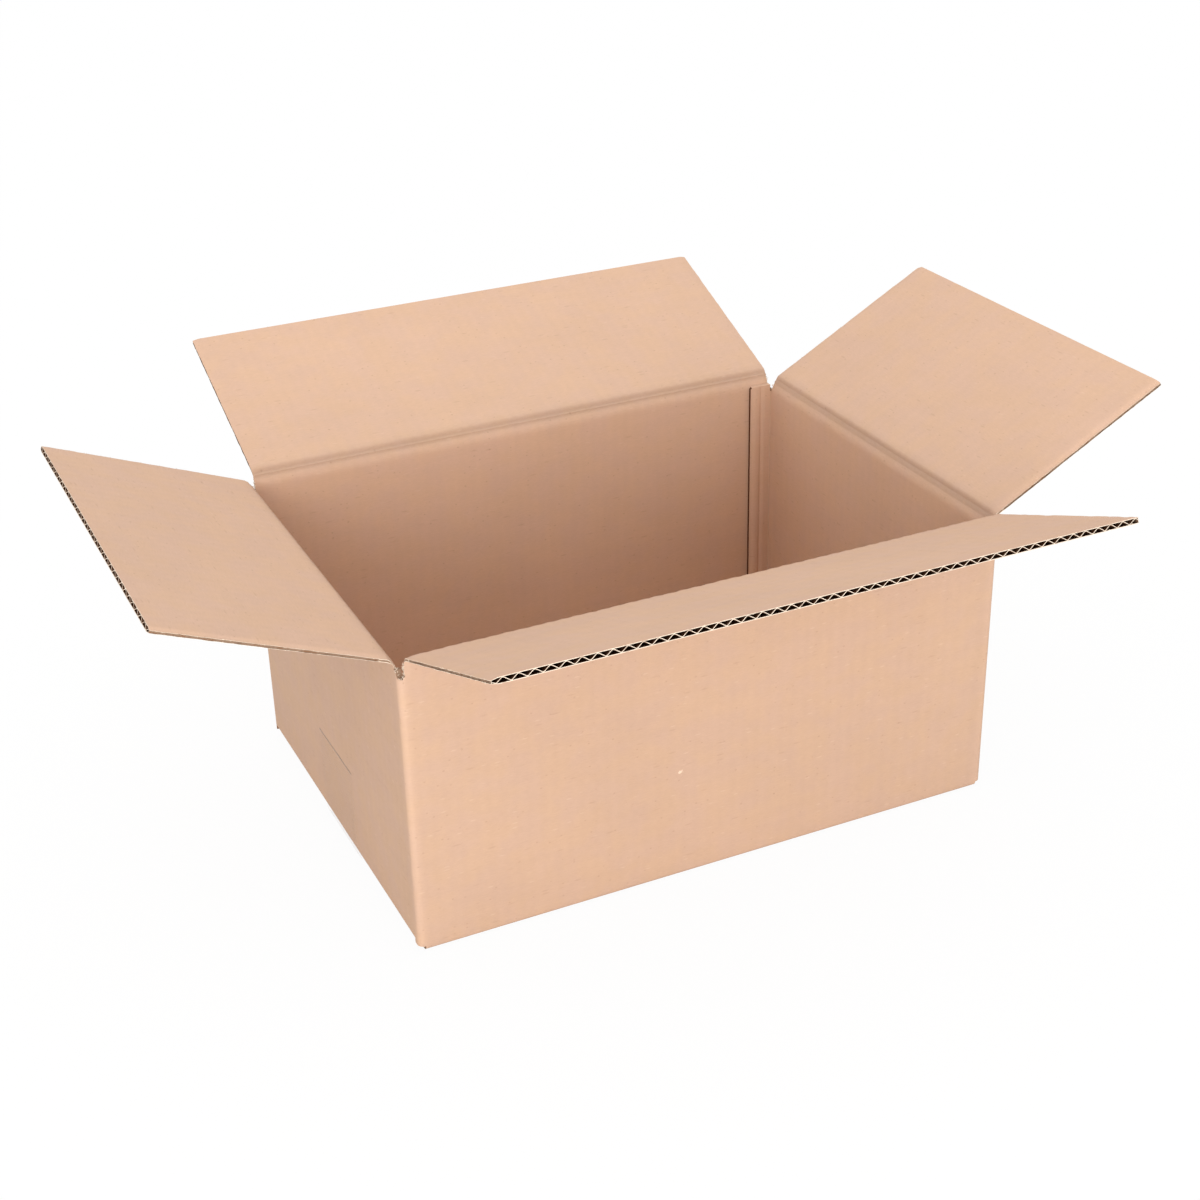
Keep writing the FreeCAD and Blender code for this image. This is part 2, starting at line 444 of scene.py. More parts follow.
def kraft_liner(name, tone, painted_fold_light, outside):
    """A kraft liner: mottled, fibrous and specked, its fibres lying along the run."""
    paper, board = settings().paper, settings().board
    _, graph = new_material(name)
    blank = graph.add("ShaderNodeTexCoord").out("UV")
    shift = (0.0, 0.0, 0.0) if outside else (0.37, 0.37, 0.0)
    spot = graph.vector_maths("ADD", blank, shift).out()
    crush = graph.add("ShaderNodeAttribute", {"attribute_name": "crush"}).out("Fac")

    patches = graph.noise(spot, 16.0, 3.0)
    clouds = graph.noise(spot, 110.0, 2.0)
    streaks = graph.noise(graph.stretch(spot, (30.0, 260.0, 1.0)), 1.0, 3.0, 0.55)
    fibres = graph.noise(graph.stretch(spot, (330.0, 1500.0, 1.0)), 1.0, 2.0, 0.6)
    felt = graph.noise(spot, 800.0, 3.0, 0.65)
    run = graph.split(blank)[0]
    ribs = graph.maths("SINE", run * (2 * math.pi / board.pitch)) * (1.0 - crush)

    level = 1.0 + (patches + clouds * 0.5 + streaks * 0.5) * paper.mottle
    level = level + (fibres + felt * 0.6) * paper.grain + ribs * paper.washboard
    # Where the board is crushed along creases and folds the level shifts: painted shade on the inner
    # liner, a painted highlight on the outer.
    level = level + crush * painted_fold_light
    # Paler along the outer folds: a painted highlight where the rounded folds catch the light, partly
    # the stretched liner.
    if outside:
        level = level + worn_folds(graph, run) * paper.fold_pale
    warm = tuple(c * (1.0 + paper.tint * way) for c, way in zip(tone, (1.0, 0.1, -1.8)))
    cool = tuple(c * (1.0 + paper.tint * way) for c, way in zip(tone, (-0.2, -0.5, 1.8)))
    hue = graph.noise(spot, 60.0, 2.0).between(-0.16, 0.16)
    tinted = graph.scaled(graph.mix(hue, warm, cool), level)

    bark = graph.spots(graph.stretch(spot, (330.0, 460.0, 1.0)), 0.22, 0.26) * 0.22
    chips = graph.spots(graph.stretch(spot, (110.0, 190.0, 1.0)), 0.12, 0.09) * 0.24
    hairs = graph.spots(graph.stretch(spot, (150.0, 620.0, 1.0)), 0.20, 0.30) * 0.15
    shreds = graph.spots(graph.stretch(spot, (120.0, 560.0, 1.0)), 0.14, 0.34) * 0.14
    tinted = graph.mix(bark + chips, tinted, paper.speck[:])
    tinted = graph.mix(shreds, tinted, paper.speck[:])
    light = hairs + rubbed_spot(graph, blank, felt) * 0.8 if outside else hairs
    tinted = graph.mix(light, tinted, paper.pale[:])

    height = felt * 0.5 + fibres * 0.5 + ribs * 0.06 - bark
    finish_material(graph, tinted, 0.74 + felt * 0.2 - crush * 0.06, height, 0.00006, 0.3)


def medium_paper():
    """The fluted paper between the liners: its own colour darkened as painted shade of the flute
    hollows, with small tufts.
    """
    _, graph = new_material("medium_paper")
    spot = graph.add("ShaderNodeTexCoord").out("Object")
    felt = graph.noise(spot, 700.0, 3.0, 0.6)
    tone = graph.scaled(settings().paper.medium[:], 0.9 + felt * 0.5)
    finish_material(graph, tone, 0.85 + felt * 0.2, felt, 0.0001, 0.2)


def torn_paper(name, base, pits):
    """Cut or crushed paper: fuzzy, with darker pits between the fibres."""
    paper = settings().paper
    _, graph = new_material(name)
    spot = graph.add("ShaderNodeTexCoord").out("Object")
    felt = graph.noise(spot, 1100.0, 3.0, 0.65)
    tufts = graph.noise(spot, 260.0, 2.0)
    tone = graph.scaled(base, 0.98 + felt * 0.4 + tufts * 0.5)
    tone = graph.mix(tufts.between(0.06, 0.16) * pits, tone, paper.speck[:])
    finish_material(graph, tone, 0.9 - felt * 0.1, felt + tufts, 0.00015, 0.2)


def clear_tape():
    """Clear film, glossy, with faint wrinkles; its torn ends show as a darker line, a painted shade
    of the film's edge.
    """
    tape = settings().tape
    _, graph = new_material("clear_tape")
    spot = graph.add("ShaderNodeTexCoord").out("Object")
    height = graph.split(spot)[2]
    # The dark line at the torn ends is painted shade of the film's edge.
    torn = height.between(TAPE_HIGH.z - tape.tear * 2.6, TAPE_HIGH.z - tape.tear * 1.6)
    wrinkle = graph.noise(graph.stretch(spot, (30.0, 260.0, 30.0)), 1.0)
    alpha = tape.cover + torn * tape.edge_cover
    tone = graph.mix(torn, tape.film[:], tape.edge[:])
    finish_material(graph, tone, 0.22 + wrinkle * 0.1, wrinkle, 0.00003, 0.4, alpha)


def link(name, mesh):
    """Put a mesh in the scene as an object at the origin."""
    piece = bpy.data.objects.new(name, mesh)
    bpy.context.scene.collection.objects.link(piece)
    return piece


def plain_mesh(name, points, faces, spots, crush, materials, chosen=None):
    """A mesh from points, with a UV map in metres of blank and the crush attribute."""
    mesh = bpy.data.meshes.new(name)
    mesh.from_pydata([tuple(p) for p in points], [], faces)
    for material in materials:
        mesh.materials.append(material)
    write_spots(mesh, np.array(spots, np.float32), np.array(crush, np.float32))
    if chosen is not None:
        mesh.polygons.foreach_set("material_index", chosen)
    mesh.update()
    return mesh


def write_spots(mesh, spots, crush):
    """Give each vertex its place on the blank as UV, and how crushed the board is there."""
    corners = np.zeros(len(mesh.loops), np.int32)
    mesh.loops.foreach_get("vertex_index", corners)
    layer = mesh.uv_layers.new(name="blank")
    layer.data.foreach_set("uv", spots[corners].ravel())
    attribute = mesh.attributes.new("crush", "FLOAT", "POINT")
    attribute.data.foreach_set("value", crush)


def read_points(mesh):
    """The vertices of a mesh as an array."""
    flat = np.zeros(len(mesh.vertices) * 3, np.float32)
    mesh.vertices.foreach_get("co", flat)
    return flat.reshape(-1, 3)


def soften(mesh, degrees=35.0):
    """Smooth shading with sharp edges past an angle."""
    mesh.polygons.foreach_set("use_smooth", [True] * len(mesh.polygons))
    mesh.set_sharp_from_angle(angle=math.radians(degrees))
    mesh.update()


def evaluated_mesh(piece):
    """The mesh of an object with its modifiers, as plain data."""
    graph = bpy.context.evaluated_depsgraph_get()
    mesh = bpy.data.meshes.new_from_object(piece.evaluated_get(graph), depsgraph=graph,
                                           preserve_all_data_layers=True)
    mesh.name = piece.name
    return mesh


def steps(low, high, cell):
    """Evenly spaced values from low to high, no further apart than a cell."""
    count = max(1, math.ceil(abs(high - low) / cell - TINY))
    return [low + (high - low) * i / count for i in range(count + 1)]


def smooth(value):
    """A smooth step from 0 to 1."""
    value = np.clip(value, 0.0, 1.0)
    return value * value * (3 - 2 * value)


def side_pinches(side):
    """Share of the thickness left at a flap's two sides, as its run goes."""
    cut = settings().cut
    return cut.pinch, cut.open_side if side == "front" else cut.pinch


def pinched(from_edge, least):
    """Share of the board's thickness left at a distance from a cut along the flutes."""
    return least + (1 - least) * smooth(from_edge / settings().cut.pinch_reach)


class Column(NamedTuple):
    """A vertical line on the outer face of the walls."""
    run: float
    x: float
    y: float
    out_x: float
    out_y: float


class Stretch(NamedTuple):
    """A stretch of the walls seen from above: a wall, a shoulder beside it, a fold or the tab."""
    kind: str
    side: str
    columns: list


def flat_columns(side, middle, low, high, cell):
    """Columns along a straight wall; middle is the run at the wall's middle."""
    crease = CREASES[side]
    columns = []
    for s in steps(low, high, cell):
        point = crease.face + crease.along * s
        columns.append(Column(middle + s, point.x, point.y, crease.out.x, crease.out.y))
    return columns


def fold_columns(run, crease, at, radius, count=8):
    """Columns round a fold: a quarter turn to the right, seen from outside the carton."""
    centre = crease.face + crease.along * at - crease.out * radius
    columns = []
    for i in range(count + 1):
        turn = i / count * math.pi / 2
        out = crease.out * math.cos(turn) + crease.along * math.sin(turn)
        point = centre + out * radius
        columns.append(Column(run + radius * turn, point.x, point.y, out.x, out.y))
    return columns


def walls_from_above():
    """The walls as stretches, from the back wall's cut end to the tab, and their middles' runs."""
    board, tab = settings().board, settings().tab
    reach = {"back": BODY_HIGH.x, "left": BODY_HIGH.y, "front": BODY_HIGH.x, "right": BODY_HIGH.y}
    stretches, middles = [], {}
    run = board.fold - reach["back"]
    for side, half in reach.items():
        crease = CREASES[side]
        first, last = board.fold - half, half - board.fold
        middle = run - first
        middles[side] = middle
        if side == "back":
            first = tab.inset - half
        if side == "right":
            last = crease.end
        if crease.start - first > TINY:
            columns = flat_columns(side, middle, first, crease.start, board.cell / 15)
            stretches.append(Stretch("shoulder", side, columns))
        columns = flat_columns(side, middle, crease.start, crease.end, board.cell)
        stretches.append(Stretch("wall", side, columns))
        if last - crease.end > TINY:
            columns = flat_columns(side, middle, crease.end, last, board.cell / 15)
            stretches.append(Stretch("shoulder", side, columns))
        run = middle + last
        stretches.append(Stretch("fold", side, fold_columns(run, crease, last, board.fold)))
        run += board.fold * math.pi / 2
    corner = stretches[-1].columns[-1]
    columns = [Column(run + s, corner.x - s, corner.y, 0.0, 1.0)
               for s in steps(0.0, tab.width, board.cell / 15)]
    stretches.append(Stretch("tab", "right", columns))
    return stretches, middles


class Blank:
    """The outside face of the blank, gathered as grids that share their common points."""

    def __init__(self, low, high):
        self.low, self.high = low, high
        self.points, self.spots, self.crush, self.faces = [], [], [], []
        self.known = {}

    def corner(self, tag, run, rise, point, crushed):
        """The index of a point; grids share it between the low and high level of the walls."""
        shared = self.low - TINY <= rise <= self.high + TINY
        key = ("" if shared else tag, round(run, 6), round(rise, 6))
        if key not in self.known:
            self.known[key] = len(self.points)
            self.points.append(point)
            self.spots.append((run, rise))
            self.crush.append(crushed)
        return self.known[key]

    def grid(self, tag, columns, rises, position, crushed=None):
        """Add a grid of faces; position gives a point from a column and a rise."""
        rows = []
        for rise in rises:
            row = []
            for column in columns:
                amount = crushed(column) if crushed else 0.0
                row.append(self.corner(tag, column.run, rise, position(column, rise), amount))
            rows.append(row)
        for below, above in zip(rows, rows[1:]):
            for i in range(len(columns) - 1):
                self.faces.append((below[i], below[i + 1], above[i + 1], above[i]))


def upright(column, rise):
    """A point straight up a wall."""
    return (column.x, column.y, rise)


def folded_under(low, radius):
    """Where a point of a bottom flap goes, once it is folded in under the carton."""
    def position(column, rise):
        past = low + radius - rise
        if past <= 0:
            return upright(column, rise)
        turn = min(past / radius, math.pi / 2)
        inward = radius * (1 - math.cos(turn)) + max(0.0, past - radius * math.pi / 2)
        height = low + radius - radius * math.sin(turn)
        return (column.x - column.out_x * inward, column.y - column.out_y * inward, height)
    return position


def top_slots():
    """The columns under each top slot: the folds and shoulders between two walls."""
    slots, columns, first = [], [], None
    for kind, side, more in walls_from_above()[0]:
        if kind in ("shoulder", "fold"):
            first = first or side
            columns = columns + more[1 if columns else 0:]
            ends = kind == "fold" and side == "right"
        if kind in ("wall", "tab") and columns:
            slots.append(("tab" if ends else first + "_slot", columns))
            columns, first = [], None
    return slots


def torn_floor(name, columns):
    """The uneven bottom of a slot; the front left one has a lump, then a hook to the right."""
    ring_high = BODY_HIGH.z - settings().crease.foot
    slot_floor = BODY_HIGH.z - settings().cut.slot_drop
    start, end = columns[0].run, columns[-1].run
    bites = {"left_slot": ((0.0, 0.0030), (0.12, 0.0034), (0.28, 0.0026), (0.40, 0.0008),
                           (0.55, -0.0002), (0.86, -0.0004), (0.94, 0.0010), (1.0, 0.0016))}
    places, heights = zip(*bites.get(name, ((0.0, 0.0003), (0.4, -0.0004), (1.0, 0.0002))))

    def position(column, rise):
        across = (column.run - start) / (end - start)
        lift = (rise - ring_high) / (slot_floor - ring_high)
        uneven = 0.0002 * math.sin(column.run * 5200.0)
        return (column.x, column.y, rise + lift * (np.interp(across, places, heights) + uneven))
    return position


def flap_lows():
    """Height of each bottom flap's underside: the short ones lie on the long ones."""
    board = settings().board
    layer = board.board + board.layer_gap
    return {"front": 0.0, "back": 0.0, "left": layer, "right": layer}


def bottom_depth(side):
    """How far a bottom flap reaches in from its wall's outside."""
    return BODY_HIGH.y - settings().board.seam / 2 + flap_lows()[side]


def foot_rises(low, radius, reach, cell):
    """Rises down a bottom flap: the wall's lower edge, the fold and the flat flap."""
    top = low + radius
    rises = [top - radius * math.pi / 2 * i / 6 for i in range(7)]
    flat = rises[-1] - (reach - radius)
    return rises + steps(rises[-1], flat, cell)[1:]


def add_tab(blank, columns, levels, top):
    """Add the glue tab to the blank, with the corners of its free end cut off."""
    tab = settings().tab
    middle, half = (tab.low + top) / 2, (top - tab.low) / 2
    root, far = columns[0].run, columns[-1].run

    def tapered(column, rise):
        lost = max(0.0, tab.taper - (far - column.run))
        shift = tab.glue * min(1.0, (column.run - root) / tab.taper)
        return (column.x, column.y - shift, middle + (rise - middle) * (1 - lost / half))
    blank.grid("tab", columns, levels, tapered)


def press_tab(mesh):
    """Pinch the tab's free end, press its score line and give its cut end the dark fluted paper: a
    painted shadow.
    """
    tab, thick = settings().tab, settings().board.board
    points = read_points(mesh)
    outer = CREASES["right"].end + settings().board.fold
    end = BODY_HIGH.x - settings().board.fold - tab.width
    x, y, z = points.T
    inner = (np.abs(y - outer + thick) < thick * 0.3) & (z > tab.low - TINY)
    inner &= (x > end - TINY) & (x < end + tab.width)
    lift = thick * (1 - pinched(x - end, settings().cut.pinch)) * 0.7
    lift += tab.score_depth * np.exp(-((x - end - tab.score) / 0.0009) ** 2)
    points[inner, 1] += lift[inner]
    mesh.vertices.foreach_set("co", points.ravel())
    for polygon in mesh.polygons:
        if polygon.material_index == CRUSHED and abs(polygon.center.y - outer) < thick:
            # The free end takes the dark fluted paper: painted shadow along the tab's edge.
            if polygon.normal.x < -0.5:
                polygon.material_index = MEDIUM
            elif polygon.normal.z > 0.5 and polygon.center.x < end + tab.width:
                polygon.material_index = INSIDE


def walls_and_bottom(materials):
    """The blank without its top flaps: one folded sheet, thickened inwards."""
    board, tab, crease, cut = (settings().board, settings().tab, settings().crease,
                               settings().cut)
    lows = flap_lows()
    ring_low = max(lows.values()) + board.fold
    ring_high = BODY_HIGH.z - crease.foot
    slot_floor = BODY_HIGH.z - cut.slot_drop
    blank = Blank(ring_low, ring_high)
    ring = [ring_low, tab.low] + steps(tab.low, ring_high, board.cell)[1:]
    for kind, side, columns in walls_from_above()[0]:
        if kind == "tab":
            top = BODY_HIGH.z - tab.drop
            add_tab(blank, columns, ring[1:] + [slot_floor, top], top)
            continue
        first, last = columns[0].run, columns[-1].run

        # Fold columns count as crushed: painted shade on the inner liner there, and a painted
        # highlight on the outer.
        def crushed(column, share_folded=0.8 if kind == "fold" else 0.0, a=first, b=last):
            return share_folded * math.sin(math.pi * (column.run - a) / (b - a)) ** 2
        blank.grid("ring", columns, ring, upright, crushed)
        if kind == "wall":
            low = lows[side]
            rises = foot_rises(low, board.fold, bottom_depth(side) - board.open_flutes, board.cell)
            if low + board.fold < ring_low - TINY:
                rises = [ring_low] + rises
            blank.grid(side, columns, rises[::-1], folded_under(low, board.fold))
            continue
        blank.grid(side + "corner", columns, [max(lows.values()), ring_low], upright, crushed)
    for name, columns in top_slots():
        blank.grid(name, columns, [ring_high, slot_floor], torn_floor(name, columns))
    mesh = plain_mesh("walls_and_bottom", blank.points, blank.faces, blank.spots, blank.crush,
                      materials)
    piece = link("walls_and_bottom", mesh)
    solid = piece.modifiers.new("thickness", "SOLIDIFY")
    solid.thickness = board.board
    solid.offset = -1.0
    solid.use_even_offset = True
    solid.material_offset = INSIDE
    solid.material_offset_rim = CRUSHED
    piece.data = evaluated_mesh(piece)
    piece.modifiers.clear()
    press_tab(piece.data)
    soften(piece.data)
    return piece


def crease_profile(crease, low):
    """Across a crease, from the wall up into the flap's root: (rise, outer, inner) points."""
    sizes, thick = settings().crease, settings().board.board
    half = crease.opened / 2
    bisector = Vector((-math.cos(half), math.sin(half)))
    flap = Vector((math.sin(crease.opened), math.cos(crease.opened)))
    inner = Vector((-math.cos(crease.opened), math.sin(crease.opened)))
    least, near, skin = sizes.neck / thick, sizes.bend * 0.75, crease.skin

    def left(rise, groove, power):
        share_out = min(1.0, max(0.0, (abs(rise) - near) / (groove - near)))
        return least + (1 - least) * (1 - (1 - share_out) ** power)
    profile = []
    for rise in [low] + steps(-sizes.wall_groove, -near, 0.0006):
        outer = Vector((-skin, rise))
        through = Vector((-thick * left(rise, sizes.wall_groove, 2.6), 0))
        profile.append((rise, outer, outer + through))
    profile.append((0.0, bisector * skin, bisector * (skin + sizes.neck)))
    for rise in steps(near, sizes.flap_groove, 0.00045) + [sizes.root]:
        outer = flap * rise + inner * skin
        through = inner * thick * left(rise, sizes.flap_groove, 2.0)
        profile.append((rise, outer, outer + through))
    return profile


def crease_stations(crease):
    """Places along a crease: several to a flute, and closer ones where the ends are pinched."""
    reach, pitch = settings().cut.pinch_reach, settings().board.pitch
    near = [reach * part for part in (0.0, 0.12, 0.28, 0.5, 0.75)]
    middle = steps(crease.start + reach, crease.end - reach, pitch / 4)
    return [crease.start + n for n in near] + middle + [crease.end - n for n in near[::-1]]


class Sheet:
    """Points and faces of a crease piece, as lanes of points from station to station."""

    def __init__(self, crease, middle):
        self.crease, self.middle = crease, middle
        self.points, self.spots, self.crush, self.faces, self.tones = [], [], [], [], []

    def point(self, station, flat, rise, crushed):
        """Add a point given across the crease, and return its index."""
        crease = self.crease
        place_there = crease.origin + crease.along * station + crease.out * flat.x + UP * flat.y
        self.points.append(place_there)
        self.spots.append((self.middle + station, crease.origin.z + rise))
        self.crush.append(crushed)
        return len(self.points) - 1

    def strip(self, first, second, tone, flip=False):
        """Faces between two lanes of points."""
        for i in range(len(first) - 1):
            ring = (first[i], first[i + 1], second[i + 1], second[i])
            self.faces.append(ring[::-1] if flip else ring)
            self.tones.append(tone)

    def close_side(self, outer, inner, flip):
        """Close a side between two lanes: a crushed band between the liners' cut edges, its darker
        tone painted shade of the gap between the pinched liners.
        """
        lanes = [outer]
        for part in (0.2, 0.8):
            lane = []
            for a, b in zip(outer, inner):
                self.points.append(self.points[a].lerp(self.points[b], part))
                self.spots.append(self.spots[a])
                self.crush.append(self.crush[a])
                lane.append(len(self.points) - 1)
            lanes.append(lane)
        lanes.append(inner)
        for first, second, tone in zip(lanes, lanes[1:], (CUT, CRUSHED, CUT)):
            self.strip(first, second, tone, flip)


def top_crease(crease, middle, materials):
    """One crease with the wall's upper edge below it and the flap's crushed root beyond."""
    sizes, board, cut = settings().crease, settings().board, settings().cut
    height = crease.origin.z
    low = BODY_HIGH.z - sizes.foot - height
    slot = BODY_HIGH.z - cut.slot_drop - height
    profile = crease_profile(crease, low)
    stations = crease_stations(crease)
    chance = np.random.default_rng(len(crease.name) * 7 + 3)
    uneven = np.convolve(chance.normal(0.0, 1.0, len(stations)), np.ones(5) / 5, "same")
    sheet = Sheet(crease, middle)
    pinches = side_pinches(crease.name)
    outers, inners = [], []
    for station, bump in zip(stations, uneven):
        pressed = math.cos(2 * math.pi * (middle + station) / board.pitch)
        thinner = 1 - min(pinched(station - crease.start, pinches[0]),
                          pinched(crease.end - station, pinches[1]))
        outer_lane, inner_lane = [], []
        for rise, outer, inner in profile:
            # The crease band's crush; the inner liner darkens with it as painted shade, the outer
            # lightens as a painted highlight.
            painted_fold_light = math.exp(-((rise - 0.0008) / 0.0022) ** 2)
            sunk = sizes.dimple * (pressed + bump) * math.exp(-((abs(rise) - 0.003) / 0.0014) ** 2)
            lost = thinner * float(smooth((rise - slot) / 0.004)) / 2
            through = inner - outer
            inner = inner - through * lost - through.normalized() * sunk
            outer = outer + through * lost
            outer_lane.append(sheet.point(station, outer, rise, painted_fold_light))
            inner_lane.append(sheet.point(station, inner, rise, painted_fold_light))
        outers.append(outer_lane)
        inners.append(inner_lane)
    for i in range(len(stations) - 1):
        sheet.strip(outers[i], outers[i + 1], OUTSIDE, flip=True)
        sheet.strip(inners[i], inners[i + 1], INSIDE)
    for end, flip in ((0, True), (-1, False)):
        sheet.strip([lane[end] for lane in outers], [lane[end] for lane in inners], CUT, flip)
    for end, flip in ((0, False), (-1, True)):
        sheet.close_side(outers[end], inners[end], flip)
    mesh = plain_mesh(crease.name + "_crease", sheet.points, sheet.faces, sheet.spots,
                      sheet.crush, materials, sheet.tones)
    soften(mesh, 50.0)
    return link(crease.name + "_crease", mesh)


def new_tree(name, inputs):
    """A geometry tree with named inputs; returns the tree, its graph and the inputs' wires."""
    tree = bpy.data.node_groups.new(name, "GeometryNodeTree")
    for label, kind in inputs:
        tree.interface.new_socket(name=label, in_out="INPUT", socket_type="NodeSocket" + kind)
    tree.interface.new_socket(name="Geometry", in_out="OUTPUT", socket_type="NodeSocketGeometry")
    graph = Graph(tree)
    entry = graph.add("NodeGroupInput")
    return tree, graph, {label: entry.out(label) for label, _ in inputs}


def painted(graph, geometry, material, selection=None):
    """Give faces a material."""
    return graph.add("GeometryNodeSetMaterial", None, Geometry=geometry, Selection=selection,
                     Material=material).out()


def moved(graph, geometry, offset=None, position=None):
    """Move points by an offset or to a position."""
    return graph.add("GeometryNodeSetPosition", None, Geometry=geometry, Position=position,
                     Offset=offset).out()


def flute_tree():
    """Open corrugated board: two liners and a fluted medium, lying flat from Y 0 to its depth."""
    tree, graph, given = new_tree("open_flutes", [
        ("Run", "Float"), ("Depth", "Float"), ("Pitch", "Float"), ("Board", "Float"),
        ("Liner", "Float"), ("Medium", "Float"), ("Phase", "Float"), ("Ragged", "Float"),
        ("Pinch", "Float"), ("Far pinch", "Float"), ("Pinch reach", "Float"),
        ("Corner", "Float"), ("Blunt", "Float"),
        ("Seed", "Float"), ("Along", "Int"), ("Across", "Int"), ("Rings", "Int"),
        ("Outer liner", "Material"), ("Inner liner", "Material"), ("Fluted paper", "Material"),
        ("Cut edge", "Material"), ("Crushed side", "Material"),
    ])
    x, y, z = graph.split(graph.add("GeometryNodeInputPosition").out())
    run, depth, thick = given["Run"], given["Depth"], given["Board"]
    far = depth * 0.5 - y

    def wobble(scale, lift):
        """Noise from about -1 to 1 that changes with the seed."""
        return graph.noise(graph.vector(x, y, given["Seed"] + lift), scale, 2.0, 0.6) * 4.0

    # Rows lie closer together towards the open end
    share_deep = graph.maths("MAXIMUM", far / depth, 0.0)
    row = (1.0 - graph.maths("POWER", share_deep, 1.6)) * depth - depth * 0.5

    grid = graph.add("GeometryNodeMeshGrid", None, run - given["Liner"] * 2.0, depth,
                     given["Rings"], given["Across"]).out("Mesh")
    grid = moved(graph, grid, position=graph.vector(x, row, 0.0))
    turn = ((x + given["Phase"]) / given["Pitch"] + wobble(60.0, 3.0) * 0.035) * (2 * math.pi)
    zigzag = graph.maths("ARCSINE", graph.maths("SINE", turn) * 0.94) / math.asin(0.94)
    rise = (thick - given["Liner"] * 2.0 - given["Medium"] * 0.8) * 0.5
    height = thick * 0.5 + zigzag * rise - given["Medium"] * 0.5
    frayed = wobble(700.0, 9.0) * given["Ragged"] * 0.3 * (1.0 - far.between(0.0, 0.0001))
    waved = moved(graph, grid, graph.vector(0.0, frayed, height))
    shell = graph.add("GeometryNodeExtrudeMesh", {"mode": "FACES"}, waved, None, (0.0, 0.0, 1.0),
                      given["Medium"] * 1.15, False)
    back = graph.add("GeometryNodeFlipFaces", None, waved)
    both = graph.add("GeometryNodeJoinGeometry", None, [shell.out("Mesh"), back.out()])
    medium = graph.add("GeometryNodeMergeByDistance", None, both, None, 0.000002)
    pieces = [painted(graph, medium, given["Fluted paper"])]

    # Columns of the liners lie closer together towards the sides
    column = graph.maths("SINE", x / run * math.pi) * run * 0.5
    on_side = (graph.maths("ABSOLUTE", x) / run).between(0.4998, 0.49995)
    on_end = 1.0 - (far / depth).between(0.00005, 0.0002)
    facing = graph.split(graph.add("GeometryNodeInputNormal").out("Normal"))
    for level, seed, slot in ((0.0, 21.0, "Outer liner"), (1.0, 57.0, "Inner liner")):
        size = graph.vector(run, depth, given["Liner"])
        slab = graph.add("GeometryNodeMeshCube", None, size, given["Along"], given["Across"], 2)
        slab = moved(graph, slab.out("Mesh"), position=graph.vector(column, row, z))
        torn = wobble(520.0, seed) * given["Ragged"] * on_side * graph.maths("SIGN", x)
        nibbled = wobble(420.0, seed + 5.0) * given["Ragged"] * 0.35 * on_end
        lift = given["Liner"] * 0.5 + (thick - given["Liner"]) * level
        slab = painted(graph, moved(graph, slab, graph.vector(torn, nibbled, lift)), given[slot])
        # The liners' faces towards the flutes take the dark fluted paper: painted shade inside the
        # flutes.
        flute_shade_faces = graph.maths("GREATER_THAN", facing[2] * (1.0 - level * 2.0), 0.5)
        pieces.append(painted(graph, slab, given["Fluted paper"], flute_shade_faces))
    # Strips just inside the sides close the hollow; their crushed tone is painted shade of the gap
    # between the pinched liners.
    hollow = thick - given["Liner"] * 2.0
    for way in (-1.0, 1.0):
        strip = graph.add("GeometryNodeMeshCube", None, graph.vector(0.0002, depth, hollow), 2,
                          given["Across"], 3)
        inset = graph.vector((run * 0.5 - 0.0004) * way + wobble(300.0, 33.0) * 0.0002,
                             row - y, thick * 0.5)
        strip = moved(graph, strip.out("Mesh"), inset)
        pieces.append(painted(graph, strip, given["Crushed side"]))
    sides = graph.maths("GREATER_THAN", graph.maths("ABSOLUTE", facing[0]), 0.93)
    pieces[1:3] = [painted(graph, liner, given["Cut edge"], sides) for liner in pieces[1:3]]
    joined = graph.add("GeometryNodeJoinGeometry", None, pieces)
    edges = graph.maths("GREATER_THAN", facing[1], 0.6)
    board = painted(graph, joined, given["Cut edge"], edges)

    board = moved(graph, board, knife_marks(graph, given, (x, y, z), wobble))
    lying = graph.add("GeometryNodeTransform", None, Geometry=board,
                      Translation=graph.vector(0.0, depth * 0.5, 0.0))
    real = graph.add("GeometryNodeRealizeInstances", None, lying)
    graph.add("NodeGroupOutput", None, real)
    return tree


def knife_marks(graph, given, spot, wobble):
    """Shifts where knives pinched the sides, more in some places, and blunted the corners."""
    x, y, z = spot
    run, depth, thick = given["Run"], given["Depth"], given["Board"]
    far = depth * 0.5 - y
    from_side = run * 0.5 - graph.maths("ABSOLUTE", x)
    varied = wobble(150.0, 71.0) * (y + depth * 0.5).between(0.002, 0.012) * 0.22 + 1.0
    far_side = graph.maths("GREATER_THAN", x, 0.0)
    least = given["Pinch"] + (given["Far pinch"] - given["Pinch"]) * far_side
    least = graph.maths("MINIMUM", least * varied, 0.95)
    left = least + (1.0 - least) * from_side.between(0.0, given["Pinch reach"])
    radius = given["Corner"] + given["Blunt"] * far_side
    u = graph.maths("MAXIMUM", radius - from_side, 0.0)
    v = graph.maths("MAXIMUM", radius - far, 0.0)
    diagonal = graph.maths("SQRT", u * u + v * v + 1e-12)
    lost = 1.0 - (graph.maths("MAXIMUM", u, v) + 1e-6) / diagonal
    lost = graph.maths("MAXIMUM", lost, 0.0)
    return graph.vector(graph.maths("SIGN", x) * u * lost * -1.0, v * lost * -1.0,
                        (z - thick * 0.5) * (left - 1.0))


def grow(carrier, tree, values):
    """Run a geometry tree on a carrier and keep the result as a plain mesh."""
    modifier = carrier.modifiers.new("grow", "NODES")
    modifier.node_group = tree
    for item in tree.interface.items_tree:
        if item.in_out == "INPUT" and item.name in values:
            modifier[item.identifier] = values[item.name]
    mesh = evaluated_mesh(carrier)
    bpy.data.objects.remove(carrier)
    return mesh


